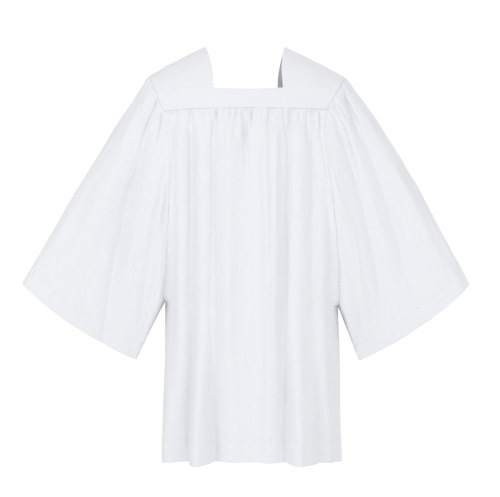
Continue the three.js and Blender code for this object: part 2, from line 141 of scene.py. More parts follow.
def yoke_surface(face, row, across):
    """Points of a yoke. Row is 0 on the shoulder, 1 at the neckline and 2 on the seam."""
    corners = neck_corners(face)
    on_left = across < sum(corners) / 2
    side = np.where(on_left, -1, 1)
    pick = lambda pair: np.where(on_left, pair[0], pair[1])
    tip_x, tip_z = (pick([SHOULDER_TIPS[-1][k], SHOULDER_TIPS[1][k]]) for k in (0, 1))
    strap = np.clip((across - side) / (pick(corners) - side), 0, 1)
    top_z = lerp(tip_z, 0, strap) + SHOULDER_BOW * np.sin(pi * strap)
    top_x = lerp(tip_x, side * NECK_HALF_WIDTH, strap)
    seam_x, seam_y, seam_z = yoke_seam(face, across)
    band = 2 * (across - corners[0]) / (corners[1] - corners[0]) - 1
    neck_z = NECK_LEVEL - NECK_DIP * np.maximum(1 - band**2, 0)
    edge_x = lerp(tip_x, pick(YOKE_ENDS), (tip_z - neck_z) / (tip_z - seam_z))
    neck_x = np.where(strap < 1, lerp(edge_x, pick(face["neck"]), strap), seam_x)
    neck_turn = np.arccos(1 - (top_z - neck_z) / (top_z - seam_z))
    turn = np.where(row < 1, neck_turn * row, lerp(neck_turn, pi / 2, row - 1))
    z = top_z - (top_z - seam_z) * (1 - np.cos(turn))
    down = (top_z - z) / (top_z - neck_z)
    bow = side * NECK_EDGE_BOW * strap**4 * np.sin(pi * np.clip(down, 0, 1))
    on_band = lerp(neck_x, seam_x, (neck_z - z) / (neck_z - seam_z))
    x = np.where(row < 1, lerp(top_x, neck_x, down) - bow, on_band)
    return np.stack([x, face["out"] * seam_y * np.sin(turn), z], axis=-1)


def linear(colour):
    """An sRGB hex colour as linear red, green, blue and alpha."""
    parts = [int(colour[i : i + 2], 16) / 255 for i in (1, 3, 5)]
    return [p / 12.92 if p <= 0.04045 else ((p + 0.055) / 1.055) ** 2.4 for p in parts] + [1]


def add_node(tree, kind, settings=None, **links):
    """Adds a node, sets its settings and fills its inputs with values or other nodes' outputs."""
    node = tree.nodes.new(kind)
    for key, value in (settings or {}).items():
        setattr(node, key, value)
    for key, value in links.items():
        socket = node.inputs[int(key[1:]) if key[1:].isdigit() else key.replace("_", " ")]
        if isinstance(value, bpy.types.NodeSocket):
            tree.links.new(value, socket)
        else:
            socket.default_value = value
    return node


def poplin():
    """Poplin: a tight plain weave of polyester and cotton, bleached white and pressed.

    It looks quite matt and even, with a cool white and the faintest grain. Its threads lie about
    0.25 mm apart, too fine to show, so they are drawn 0.8 mm apart. Thicker threads make faint
    streaks along both ways of the weave."""
    thread = 0.8
    material = bpy.data.materials.new("white_poplin")
    material.use_nodes = True
    tree = material.node_tree
    tree.nodes.clear()
    place = add_node(tree, "ShaderNodeUVMap", {"uv_map": "Cloth"}).outputs["UV"]
    apart = add_node(tree, "ShaderNodeSeparateXYZ", Vector=place)
    crossings = []
    for way in ("X", "Y"):
        turn = add_node(
            tree, "ShaderNodeMath", {"operation": "MULTIPLY"}, _0=apart.outputs[way], _1=pi / (thread * MM)
        )
        wave = add_node(tree, "ShaderNodeMath", {"operation": "SINE"}, _0=turn.outputs[0])
        crossings.append(wave.outputs[0])
    cross = add_node(tree, "ShaderNodeMath", {"operation": "MULTIPLY"}, _0=crossings[0], _1=crossings[1])
    over = add_node(tree, "ShaderNodeMath", {"operation": "ABSOLUTE"}, _0=cross.outputs[0])
    weave = add_node(tree, "ShaderNodeBump", Strength=0.25, Distance=0.08 * MM, Height=over.outputs[0])
    last = weave
    for wide, long in ((2, 50), (60, 2)):
        stretch = (1 / (wide * MM), 1 / (long * MM), 1)
        along = add_node(tree, "ShaderNodeMapping", Vector=place, Scale=stretch)
        slub = add_node(
            tree, "ShaderNodeTexNoise", Vector=along.outputs[0], Scale=1.0, Detail=2.0, Roughness=0.5
        )
        last = add_node(
            tree, "ShaderNodeBump", Strength=0.35, Distance=0.12 * MM,
            Height=slub.outputs[0], Normal=last.outputs[0],
        )
    surface = add_node(
        tree, "ShaderNodeBsdfPrincipled", Base_Color=linear("#EFF0F3"), Roughness=0.85,
        Specular_IOR_Level=0.3, Sheen_Weight=0.06, Sheen_Roughness=0.5, Normal=last.outputs[0],
    )
    add_node(tree, "ShaderNodeOutputMaterial", Surface=surface.outputs[0])
    return material


POPLIN = poplin()


def add_piece(name, points, faces, material):
    """Adds a smooth piece of the garment, with its points in millimetres."""
    mesh = bpy.data.meshes.new(name)
    mesh.from_pydata((points * MM).tolist(), [], faces)
    mesh.polygons.foreach_set("use_smooth", np.ones(len(mesh.polygons), bool))
    mesh.materials.append(material)
    piece = bpy.data.objects.new(name, mesh)
    bpy.context.scene.collection.objects.link(piece)
    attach(piece, "root")
    return piece


def cloth_piece(name, outer, facing, thick, kept=None):
    """Closes a grid of points into a thin shell of poplin, with its thickness on the inside."""
    rows, columns = outer.shape[:2]
    if kept is None:
        kept = np.ones((rows - 1, columns - 1), bool)
    inner = outer - normals(outer, facing) * np.broadcast_to(thick, (rows, columns))[..., None]
    spot = np.arange(rows * columns).reshape(rows, columns)
    corner = [spot[:-1, :-1], spot[1:, :-1], spot[1:, 1:], spot[:-1, 1:]]
    under = rows * columns
    around = np.pad(kept, 1)
    beyond = [around[1:-1, :-2], around[2:, 1:-1], around[1:-1, 2:], around[:-2, 1:-1]]
    quads = [np.stack([c[kept] for c in corner], 1)]
    quads.append(np.stack([c[kept] for c in corner[::-1]], 1) + under)
    for n in range(4):
        rim = kept & ~beyond[n]
        a, b = corner[n][rim], corner[(n + 1) % 4][rim]
        quads.append(np.stack([b, a, a + under, b + under], 1))
    quads = np.concatenate(quads)[:, ::facing]
    used, faces = np.unique(quads, return_inverse=True)
    points = np.concatenate([outer.reshape(-1, 3), inner.reshape(-1, 3)])[used]
    along = np.cumsum(np.linalg.norm(np.diff(outer, axis=1, prepend=outer[:, :1]), axis=2), axis=1)
    down = np.cumsum(np.linalg.norm(np.diff(outer, axis=0, prepend=outer[:1]), axis=2), axis=0)
    along = along - along[:, columns // 2, None]
    flat = np.tile(np.stack([along, down], 2).reshape(-1, 2), (2, 1))[used] * MM
    piece = add_piece(name, points, faces.reshape(-1, 4).tolist(), POPLIN)
    places = flat[faces.reshape(-1)].astype(np.float32)
    piece.data.uv_layers.new(name="Cloth").data.foreach_set("uv", places.ravel())
    return piece


def sewing_thread():
    """Sewing thread: white polyester, two plies twisted together.

    It looks a little smoother and lighter than the cloth, with the twist as fine slanting bands.
    They really lie 0.4 mm apart, too fine to show, so they are drawn 0.8 mm apart."""
    band = 0.8
    material = bpy.data.materials.new("white_sewing_thread")
    material.use_nodes = True
    tree = material.node_tree
    tree.nodes.clear()
    place = add_node(tree, "ShaderNodeTexCoord").outputs["Object"]
    # At a scale of 1 the slanting bands lie 2 pi / (10 sqrt 3) m apart.
    twist = add_node(
        tree, "ShaderNodeTexWave", {"bands_direction": "DIAGONAL"},
        Vector=place, Scale=2 * pi / (10 * 3**0.5 * band * MM), Distortion=1.0,
    )
    plies = add_node(tree, "ShaderNodeBump", Strength=0.4, Distance=0.1 * MM, Height=twist.outputs["Fac"])
    surface = add_node(
        tree, "ShaderNodeBsdfPrincipled", Base_Color=linear("#F3F4F6"), Roughness=0.6,
        Specular_IOR_Level=0.4, Normal=plies.outputs[0],
    )
    add_node(tree, "ShaderNodeOutputMaterial", Surface=surface.outputs[0])
    return material


THREAD = sewing_thread()


def stitch_line(points, measure, at):
    """The line over a cloth where a measure, which falls along each row of points, is at a value."""
    rows = zip(points, measure)
    return np.array([[np.interp(at, m[::-1], p[::-1, k]) for k in range(3)] for p, m in rows])


def stitches(name, line):
    """A row of stitches along a line, each a short capsule of thread half sunk in the cloth."""
    run = np.cumsum(np.linalg.norm(np.diff(line, axis=0, prepend=line[:1]), axis=1))
    starts = np.arange(STITCH_GAP, run[-1] - STITCH_LENGTH, STITCH_LENGTH + STITCH_GAP)
    ends = (starts, starts + STITCH_LENGTH)
    first, last = (np.stack([np.interp(at, run, line[:, k]) for k in range(3)], 1) for at in ends)
    half = (last - first) / 2
    aside = np.cross(half, (0.3, 0.8, 0.5))
    aside = aside / np.linalg.norm(aside, axis=1, keepdims=True) * THREAD_WIDTH / 2
    above = np.cross(half, aside) / np.linalg.norm(half, axis=1, keepdims=True)
    places, widths, sides = (-0.94, -0.8, 0, 0.8, 0.94), (0.6, 1, 1, 1, 0.6), 6
    angles = np.arange(sides) * 2 * pi / sides
    rings = [
        (place, width * np.cos(angle), width * np.sin(angle))
        for place, width in zip(places, widths) for angle in angles
    ]
    shape = np.array([(-1, 0, 0)] + rings + [(1, 0, 0)])
    tip = len(shape) - 1
    way = np.stack([half, aside, above], 1)
    points = (first + half)[:, None] + np.einsum("pw,nwk->npk", shape, way)
    faces = []
    for n in range(sides):
        m = (n + 1) % sides
        faces.append((0, 1 + m, 1 + n))
        faces.append((tip, tip - sides + n, tip - sides + m))
        for ring in range(1, tip - sides, sides):
            faces.append((ring + n, ring + m, ring + sides + m, ring + sides + n))
    all_faces = [[i + len(shape) * n for i in face] for n in range(len(points)) for face in faces]
    return add_piece(name, points.reshape(-1, 3), all_faces, THREAD)


def yoke_grid(face):
    """The rows and columns of a yoke's grid, close together beside its edges."""
    corners = neck_corners(face)
    half_seam = (YOKE_ENDS[1] - YOKE_ENDS[0]) / 2
    edge = (0, 0.6, 1.4, 2.4, 4)
    left = stations((corners[0] + 1) * half_seam, 46, BESIDE_SEAM, edge) / half_seam - 1
    band = stations((corners[1] - corners[0]) * half_seam, 70, edge, edge) / half_seam + corners[0]
    right = 1 - stations((1 - corners[1]) * half_seam, 46, BESIDE_SEAM, edge)[::-1] / half_seam
    across = np.concatenate([left, band[1:-1], right])
    over = stations(STRAP_LENGTH, 62, BESIDE_SEAM, (0, 1.2, 2.4)) / STRAP_LENGTH
    below = 1 + stations(BAND_HEIGHT, 22, edge, BESIDE_SEAM)[1:] / BAND_HEIGHT
    kept = np.ones((len(over) + len(below) - 1, len(across) - 1), bool)
    kept[: len(over) - 1, len(left) - 1 : -len(right) + 1] = False
    return np.concatenate([over, below])[:, None], across[None, :], corners, kept, len(over) - 1


def yoke(face):
    """A yoke's outer face, with its edges rolled, its seams' allowances and its pressed crease."""
    row, across, corners, kept, neckline = yoke_grid(face)
    smooth = yoke_surface(face, row, across)
    x, y, z = np.moveaxis(smooth, 2, 0)
    from_armhole = np.minimum(x - x[:, :1], x[:, -1:] - x)
    from_seam = z - z[-1:]
    from_shoulder = np.abs(y)
    first, last = (np.argmin(abs(across[0] - corner)) for corner in corners)
    beside = np.where(across < np.mean(corners), x[:, [first]] - x, x - x[:, [last]])
    from_neck = np.hypot(np.maximum(beside, 0), np.maximum(z[neckline] - z, 0))
    lift = dip(from_armhole, SEAM_SINK, 1.6) + dip(from_seam, 0.3 * SEAM_SINK, 0.7)
    lift = lift + dip(from_shoulder, SEAM_SINK, 1.2) + dip(from_neck, SEAM_SINK, 0.7)
    lift = lift + SEAM_RIDGE * (1 - smoothstep(SEAM_ALLOWANCE - 2, SEAM_ALLOWANCE + 1, from_armhole))
    lower_ridge = 0.4 * SEAM_RIDGE * (1 - smoothstep(4, 6.5, from_seam))
    lift = lift + lower_ridge * (1 + 0.5 * waves(x, z, wide=16, long=60, seed=5))
    lift = lift - 0.25 * bump(from_neck - NECK_STITCH, 0.9)
    on_straps = smoothstep(4, 14, beside) * smoothstep(6, 16, from_armhole)
    lift = lift + PRESSED_CREASE * bump(z - NECK_LEVEL + 1.5 * np.sin(x / 30), 1.8) * on_straps
    handled = 0.35 * waves(x, z, wide=46, long=34, seed=11 + face["out"])
    lift = lift + handled * smoothstep(0, 16, from_shoulder)
    outer = smooth + normals(smooth, -face["out"]) * lift[..., None]
    thick = CLOTH * (1 + smoothstep(NECK_TURNING + 0.6, NECK_TURNING - 0.6, from_neck))
    straps, band = slice(None, neckline + 1), (slice(neckline, None), slice(first, last + 1))
    left = stitch_line(outer[straps, : first + 1], beside[straps, : first + 1], NECK_STITCH)
    middle = stitch_line(np.swapaxes(outer[band], 0, 1), (z - z[neckline])[band].T, -NECK_STITCH)
    right = stitch_line(outer[straps, last:][:, ::-1], beside[straps, last:][:, ::-1], NECK_STITCH)
    return outer, thick, kept, np.concatenate([left, middle, right[::-1]])


for face in (front, back):
    outer, thick, kept, neck_line = yoke(face)
    face["yoke"] = cloth_piece(face["name"] + "_yoke_cloth", outer, -face["out"], thick, kept)
    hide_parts(face["name"] + "_yoke")
    sewn = stitches(face["name"] + "_neck_stitches", neck_line)

# ---------------------------------------------------------------------------------------------
# Front and back panels. Each is one wide length of poplin, gathered tightly by hand along its top
# and sewn to a yoke, so that it falls in soft folds. They are joined at the sides below the arms,
# and the bottom is turned up twice into a hem.
# ---------------------------------------------------------------------------------------------

UNDERARM = (-530, -539)
HEM_LEVEL = -848
HEM_SIDE_DROP = 14
HEM_FOLD_SHARE = 0.08
HEM_DEPTH = 42
ARCH_POWER = 2
OVAL_POWER = 2.4
FOLD_START = 0.18
SIDE_FADE_POWER = 8
PANEL_WIDTH = 490
GATHER_STRENGTH = 1.25
HOLLOW_PLACE = 22
HOLLOW_DEPTH = 2
SLOW_WAVES = 0.8
FINE_WAVES = 0.3
HEM_ROLL = 0.3

# Beside each armhole the body stands out towards the sleeve, more the further down, until just
# above the underarm. A narrow part of it hugs the seam, and a shallow trough runs a little way in.
ARMHOLE_FILL = 52
ARMHOLE_REACH = 38
ARMHOLE_GROWTH_POWER = 1.3
ARMHOLE_CLOSING_POWER = 90
SEAM_FILL = 4
SEAM_REACH = 5
ARMHOLE_TROUGH = 1.6
ARMHOLE_TROUGH_PLACE = 14


def table(columns, rows):
    """A table's rows as one array of numbers for each named column."""
    return dict(zip(columns.split(), np.array(rows, float).T))


# Level 0 is the yoke seam, 1 the underarm and 2 the hem. Left and right are the panels' edges,
# edge is how far they stand from the shoulders' plane, front and back how far the middle does.
SECTIONS = table("level left right edge front back round", [
    (0.00, -164, 167, 82, 112, 104, 0.00),
    (0.14, -153, 160, 84, 121, 112, 0.35),
    (0.40, -153, 175, 70, 124, 118, 0.70),
    (0.67, -158, 188, 46, 122, 120, 0.90),
    (0.88, -165, 192, 20, 120, 120, 1.00),
    (1.00, -166, 193, 0, 119, 120, 1.00),
    (1.35, -167, 198, 0, 117, 120, 1.00),
    (1.70, -171, 199, 0, 114, 121, 1.00),
    (2.00, -172, 202, 0, 112, 122, 1.00),
])

# The large folds that hang from the gathers: their places and rises at levels 0, 1 and 2, and
# their half-widths at levels 0 and 2.
FOLD_COLUMNS = "top_x mid_x hem_x top_rise mid_rise hem_rise top_wide hem_wide"
front["folds"] = table(FOLD_COLUMNS, [
    (-150, -150, -154, 2, 4, 14, 10, 12),
    (-128, -126, -142, 9, 14, 3, 13, 14),
    (-108, -108, -117, -9, -14, -24, 8, 12),
    (-86, -86, -92, 4, 6, 44, 12, 21),
    (-62, -67, -58, -6, -9, -20, 7, 14),
    (-30, -35, -28, 8, 11, 4, 14, 20),
    (2, 5, 8, -7, -2, 0, 9, 16),
    (41, 46, 47, 11, 13, 10, 11, 13),
    (62, 62, 62, 8, 9, 5, 8, 11),
    (93, 82, 82, -8, -10, -20, 8, 11),
    (112, 108, 104, 6, 4, 40, 14, 22),
    (138, 136, 132, -4, -3, 16, 9, 16),
    (158, 158, 168, 2, 4, 9, 10, 12),
])
back["folds"] = table(FOLD_COLUMNS, [
    (-128, -132, -136, -5, -9, -16, 10, 12),
    (-104, -106, -104, 4, 8, 30, 12, 20),
    (-74, -78, -72, -7, -13, -22, 9, 12),
    (-40, -42, -38, 4, 6, 10, 14, 18),
    (-8, -4, 2, -8, -12, -20, 9, 12),
    (28, 32, 34, 5, 8, 28, 13, 19),
    (66, 68, 72, -6, -10, -18, 10, 12),
    (96, 102, 108, 4, 7, 24, 12, 20),
    (130, 140, 148, -5, -8, -12, 9, 12),
])

# The gathers and creases that show under the yoke: each runs from a point to a point, as x and z,
# with its middle aside by its bow. It rises or sinks by its rise, and has a half-width at its top
# and at its foot.
CREASE_COLUMNS = "top_x top_z foot_x foot_z bow rise top_wide foot_wide"
front["creases"] = table(CREASE_COLUMNS, [
    (-154, -139, -155, -160, 0, -1.4, 2.4, 3.0),
    (-145, -140, -147, -184, 0, -4.0, 4.4, 6.0),
    (-142, -137, -133, -164, 0, -1.6, 2.2, 2.8),
    (-125, -137, -132, -164, 0, -1.4, 2.2, 2.8),
    (-114, -138, -114, -160, 0, 1.6, 3.0, 4.0),
    (-109, -139, -111, -700, 0, -4.0, 4.4, 6.0),
    (-94, -139, -92, -156, 0, -1.0, 2.2, 2.6),
    (-82, -168, -80, -200, 0, -1.6, 3.0, 3.6),
    (-73, -140, -63, -166, 0, -2.2, 2.4, 3.0),
    (-70, -150, -70, -196, 0, 1.8, 3.6, 5.0),
    (-58, -138, -60, -196, 0, -4.0, 4.2, 5.5),
    (-64, -180, -60, -800, 0, -2.4, 4.0, 8.0),
    (-43, -140, -44, -160, 0, -1.2, 2.2, 3.0),
    (-30, -138, -30, -178, 0, -2.6, 2.4, 4.0),
    (-18, -138, -20, -160, 0, -1.5, 2.2, 2.8),
    (-10, -148, -9, -224, 0, 2.2, 4.0, 7.0),
    (1, -138, 3, -300, 0, -3.4, 4.4, 6.0),
    (13, -143, 15, -184, 0, -1.0, 2.6, 4.0),
    (20, -137, 21, -162, 0, -1.2, 2.0, 2.6),
    (32, -139, 31, -158, 0, -1.0, 2.0, 2.8),
    (52, -138, 62, -210, 0, -2.8, 3.0, 4.5),
    (70, -140, 72, -166, 0, -1.6, 2.0, 2.8),
    (77, -137, 77, -157, 0, -1.2, 1.6, 2.0),
    (84, -137, 85, -156, 0, -1.2, 1.6, 2.0),
    (93, -137, 92, -205, 0, -4.6, 4.2, 5.0),
    (88, -180, 76, -800, 0, -2.6, 4.0, 8.0),
    (103, -162, 104, -198, 0, -1.6, 2.6, 3.4),
    (120, -138, 122, -172, 0, -1.4, 2.4, 3.4),
    (139, -139, 149, -200, 0, -2.6, 2.6, 4.0),
    (151, -144, 159, -214, 0, -2.2, 2.6, 4.5),
])
back["creases"] = table(CREASE_COLUMNS, [
    (-150, -139, -148, -180, 0, -2.4, 2.6, 4.0),
    (-131, -137, -136, -196, 0, -3.0, 2.6, 5.0),
    (-118, -137, -117, -158, 0, -1.4, 2.0, 2.8),
    (-98, -137, -100, -178, 0, 2.0, 3.4, 5.0),
    (-86, -137, -88, -170, 0, -2.0, 2.2, 3.4),
    (-73, -137, -76, -214, 0, -3.4, 2.8, 6.0),
    (-58, -138, -54, -160, 0, -1.4, 2.0, 2.8),
    (-34, -137, -38, -182, 0, -2.4, 2.4, 4.0),
    (-22, -137, -20, -158, 0, -1.2, 2.0, 2.6),
    (-8, -137, -6, -220, 0, -3.4, 2.8, 6.0),
    (8, -138, 12, -172, 0, -2.2, 2.2, 3.4),
    (20, -140, 24, -196, 0, 2.0, 3.6, 5.0),
    (41, -137, 38, -164, 0, -1.8, 2.2, 3.0),
    (53, -137, 55, -158, 0, -1.2, 2.0, 2.6),
    (65, -137, 67, -206, 0, -3.2, 2.6, 5.0),
    (88, -137, 84, -174, 0, -2.0, 2.2, 3.4),
    (104, -138, 108, -166, 0, -1.4, 2.0, 3.0),
    (128, -137, 133, -206, 0, -3.0, 2.6, 5.0),
    (146, -139, 148, -176, 0, -2.0, 2.4, 3.6),
])


def fold(distance, half_width, rise):
    """A fold's height across it: a round ridge, or a valley that is sharper at its bottom."""
    sharp = 0.2 * half_width
    valley = np.exp((sharp - np.hypot(distance, sharp)) / (0.7 * half_width))
    return rise * np.where(rise < 0, valley, bump(distance, half_width))


def read(rows, column, level):
    """A column of a table at any level, on a smooth curve through its rows."""
    levels, values = rows["level"], rows[column]
    at = np.arange(len(levels))
    before, after = np.maximum(at - 1, 0), np.minimum(at + 1, len(levels) - 1)
    slopes = (values[after] - values[before]) / (levels[after] - levels[before])
    i = np.clip(np.searchsorted(levels, level, side="left") - 1, 0, len(levels) - 2)
    span = levels[i + 1] - levels[i]
    t = np.clip((level - levels[i]) / span, 0, 1)
    bend = slopes[i] * t * (1 - t) ** 2 - slopes[i + 1] * t**2 * (1 - t)
    return lerp(values[i], values[i + 1], t * t * (3 - 2 * t)) + span * bend


def ease(level, start, middle, end):
    """Goes from start to middle to end as level goes from 0 to 1 to 2."""
    return np.where(
        level < 1, lerp(start, middle, smoothstep(0, 1, level)), lerp(middle, end, smoothstep(1, 2, level))
    )


def underarm_level(across):
    """The height of the line round the body at the underarms."""
    return lerp(UNDERARM[0], UNDERARM[1], (across + 1) / 2)


def body_surface(face, level, across):
    """Points of a panel with its large folds."""
    roundness = read(SECTIONS, "round", level)
    place = lerp(across, np.sin(across * pi / 2), roundness)
    edge = np.maximum(read(SECTIONS, "edge", level), 0)
    middle = read(SECTIONS, face["name"], level)
    below = np.maximum(1 - np.abs(place) ** lerp(ARCH_POWER, OVAL_POWER, roundness), 0)
    belly = below ** lerp(1, 0.5, roundness)
    x = lerp(read(SECTIONS, "left", level), read(SECTIONS, "right", level), (place + 1) / 2)
    folds = face["folds"]
    rise = 0
    for n in range(len(folds["top_x"])):
        top_x, mid_x, hem_x, top_rise, mid_rise, hem_rise, top_wide, hem_wide = (folds[k][n] for k in folds)
        centre = ease(level, top_x, mid_x, hem_x)
        wide = lerp(top_wide, hem_wide, level / 2)
        rise = rise + fold(x - centre, wide, ease(level, top_rise, mid_rise, hem_rise))
    rise = rise * smoothstep(0, FOLD_START, level) * (1 - np.abs(across) ** SIDE_FADE_POWER)
    sideways = place**3
    y = lerp(edge, middle, belly) + rise * np.sqrt(np.maximum(1 - sideways**2, 0))
    underarm = underarm_level(across)
    hem = HEM_LEVEL - HEM_SIDE_DROP * across**2 - HEM_FOLD_SHARE * np.maximum(rise, 0)
    seam = yoke_seam(face, across)[2]
    z = np.where(level < 1, lerp(seam, underarm, level), lerp(underarm, hem, level - 1))
    down = np.clip(level, 0, 1)
    from_edge = PANEL_WIDTH / 2 * (1 - np.abs(across))
    fill = ARMHOLE_FILL * down**ARMHOLE_GROWTH_POWER * bump(from_edge, ARMHOLE_REACH)
    fill = fill + SEAM_FILL * smoothstep(0, 0.3, down) * np.exp(-from_edge / SEAM_REACH)
    fill = fill * (1 - down**ARMHOLE_CLOSING_POWER)
    return np.stack([x + rise * sideways, face["out"] * (y + fill), z], axis=-1)


def creased(rows, x, z):
    """The rise of a table's creases at places on the cloth, soft at both of their ends."""
    total = np.zeros_like(x)
    for n in range(len(rows["rise"])):
        top_x, top_z, foot_x, foot_z, bow, rise, top_wide, foot_wide = (rows[k][n] for k in rows)
        along = (top_z - z) / (top_z - foot_z)
        share = np.clip(along, 0, 1)
        slant = np.cos(np.arctan2(foot_x - top_x, top_z - foot_z))
        aside = (x - lerp(top_x, foot_x, along) - 4 * bow * share * (1 - share)) * slant
        fade = smoothstep(-0.08, 0.1, along) * (1 - smoothstep(0.35, 1, along))
        total += fade * fold(aside, lerp(top_wide, foot_wide, share), rise)
    return total


def tucks(along, below, spacing, deep, long, seed):
    """The small tucks that a gathering thread draws up: below a seam, a row of short troughs."""
    draw = np.random.default_rng(seed)
    total = np.zeros(np.broadcast(along, below).shape)
    place = along.min()
    while place < along.max():
        place += spacing * draw.uniform(0.6, 1.4)
        wide = spacing * draw.uniform(0.18, 0.32)
        reach = long * draw.uniform(0.5, 1.5)
        lean = draw.uniform(-0.15, 0.15)
        depth = deep * draw.uniform(0.5, 1.2)
        total -= depth * bump(along - place - lean * below, wide) * np.exp(-((below / reach) ** 2))
    return total


def gathered_free(below):
    """How free gathered cloth is to fold, from pinched at its seam to free a little below it."""
    return 0.1 + 0.9 * smoothstep(0, 7, below)


def turned_edge(stitch, pucker):
    """The rise of an edge that is turned up twice, by the distance above its line of stitches.

    The stitches pull the cloth in, it puckers above them, and the turned part stands proud."""
    puckered = 0.9 * bump(stitch - 2, 6) * pucker
    return puckered - 0.5 * bump(stitch, 1.1) - 0.4 * smoothstep(-1.5, 0.5, stitch)


def panel(face):
    """A panel's outer face with its gathers, folds, seams and hem, and the hem's stitch line."""
    across = stations(PANEL_WIDTH, 330, BESIDE_SEAM, BESIDE_SEAM)[None, :] / PANEL_WIDTH * 2 - 1
    underarm = underarm_level(across[0])
    drop = YOKE_SEAM_LEVEL - underarm
    skirt = underarm - HEM_LEVEL + HEM_SIDE_DROP * across[0] ** 2
    top = (SEAM_GAP / 2, 0.8, 1.8, 3, 4.5, 6.5, 9, 12, 15, 18, 22, 26, 30, 34, 39, 44, 50)
    hem = (0, 0.6, 2, 8, 16, 24, 32, 38, 40.4, 41.5, 42.5, 43.6, 46, 52)
    upper = stations(drop, 58, top) / drop
    lower = 1 + stations(skirt, 42, (0,), hem)[1:] / skirt
    level = np.concatenate([upper, lower])
    smooth = body_surface(face, level, np.broadcast_to(across, level.shape))
    x, y, z = np.moveaxis(smooth, 2, 0)
    below = z[0] + SEAM_GAP / 2 - z
    above_hem = z - z[-1:]
    from_side = PANEL_WIDTH / 2 * (1 - np.abs(across))
    off_seam = smoothstep(0, 14, from_side)
    lift = dip(from_side, 0.1, 3) + dip(above_hem, HEM_ROLL, 0.6)
    small = tucks(x, below, spacing=13, deep=4, long=38, seed=21 + face["out"])
    gathers = creased(face["creases"], x, z) + small
    lift = lift + GATHER_STRENGTH * gathers * gathered_free(below) * smoothstep(0, 12, from_side)
    trough = bump(from_side - ARMHOLE_TROUGH_PLACE, 7)
    lift = lift - ARMHOLE_TROUGH * trough * smoothstep(15, 45, below) * smoothstep(1, 0.8, level)
    hollow = bump(below - HOLLOW_PLACE, HOLLOW_PLACE)
    hollow = smoothstep(0, 10, below) * hollow * smoothstep(0, 20, from_side)
    uneven = 1.5 * waves(x, z, wide=44, long=90, seed=31 + face["out"])
    lift = lift - hollow * (HOLLOW_DEPTH + uneven)
    stitch = above_hem - HEM_DEPTH
    pucker = waves(x, z, wide=24, long=60, seed=41 + face["out"]) * off_seam
    lift = lift + turned_edge(stitch, pucker)
    hanging = smoothstep(0, 60, below) * smoothstep(0, 30, from_side)
    lift = lift + SLOW_WAVES * waves(x, z, wide=62, long=190, seed=51 + face["out"]) * hanging
    lift = lift + FINE_WAVES * waves(x, z, wide=26, long=60, seed=61 + face["out"]) * off_seam
    outer = smooth + normals(smooth, -face["out"]) * lift[..., None]
    thick = CLOTH * (1 + smoothstep(0.5, -0.5, stitch))
    return outer, thick, stitch_line(np.swapaxes(outer, 0, 1), above_hem.T, HEM_DEPTH)


for face in (front, back):
    outer, thick, hem_line = panel(face)
    face["panel"] = cloth_piece(face["name"] + "_panel_cloth", outer, -face["out"], thick)
    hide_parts(face["name"] + "_panel")
    sewn = stitches(face["name"] + "_hem_stitches", hem_line)

# ---------------------------------------------------------------------------------------------
# Sleeves. Each is one wide piece of poplin with a seam along its lower fold, gathered to the
# yoke's side over the shoulder and sewn on round the armhole. The cuff is turned up twice.
# ---------------------------------------------------------------------------------------------

CUFF_DEPTH = 34
CUFF_HALF_DEPTH = 54
CUFF_FRONT_DROP = 12
CUFF_ROUNDNESS = 0.6
CUFF_INNER_SHARE = 0.22
CUFF_TAPER_POWER = 0.8
CROWN_POWER = 0.8
SLEEVE_ROUND = 980
SLEEVE_CUFF_SHARE = 0.6
SLEEVE_FOLD_START = 0.15
BACK_CREASE_SHARE = 0.8
PUFF_RISE = 2.4
PUFF_LENGTH = 26

# Low down the sleeve is full. Its swell grows over a span of the half round from the top of the
# arm, and closes from the next share to the fold underneath. The cap's gathers die out over a span
# of millimetres from the top.
INNER_SWELL = 18
SWELL_SPAN = (0.38, 0.92)
UNDERARM_FOLD = 0.985
CAP_END = (95, 170)

# The way down the armhole's edge is shared out: the strap's part ends at the first of these
# shares, the yoke's at the second, and from there on the sleeve is sewn to the body.
STRAP_ROUND = 5 / 16
YOKE_ROUND = 7 / 16
ARMHOLE_CROWDING = 1.3

# Outer and inner are the cuff's two ends, as x and z, and crown is how far the sleeve bows up over
# the arm. A large fold runs from a place at the head to a place at the cuff. These and its
# half-width are shares of the half round from the top of the arm to the fold underneath, and
# places below 0 are at the back.
SLEEVE_FOLD_COLUMNS = "head cuff head_rise mid_rise cuff_rise wide"
left_sleeve = {
    "name": "sleeve_left", "side": -1, "facing": 1, "outer": (-462, -490), "inner": (-226, -650), "crown": 5,
    "folds": table(SLEEVE_FOLD_COLUMNS, [
        (0.24, 0.42, 6, 7, 1, 0.070),
        (0.38, 0.66, -9, -21, -10, 0.050),
        (0.46, 0.80, 5, 5, 0, 0.045),
        (0.58, 0.90, -3, -6, -1, 0.030),
        (0.68, 0.94, 8, 5, 0, 0.060),
        (-0.22, -0.34, 5, 6, 2, 0.070),
        (-0.33, -0.54, -9, -12, -4, 0.045),
        (-0.50, -0.78, 6, 7, 1, 0.060),
        (-0.62, -0.88, -4, -6, -1, 0.035),
    ]),
    "creases": table(CREASE_COLUMNS, [
        (-172, -104, -211, -236, -8, -8.0, 3.2, 5.0),
        (-169, -138, -196, -240, 4, -7.0, 3.2, 5.0),
        (-186, -140, -203, -232, 0, 4.5, 6.0, 6.0),
        (-196, -104, -223, -206, 0, 3.4, 6.0, 9.0),
        (-234, -170, -352, -560, 0, 3.5, 12.0, 26.0),
    ]),
}
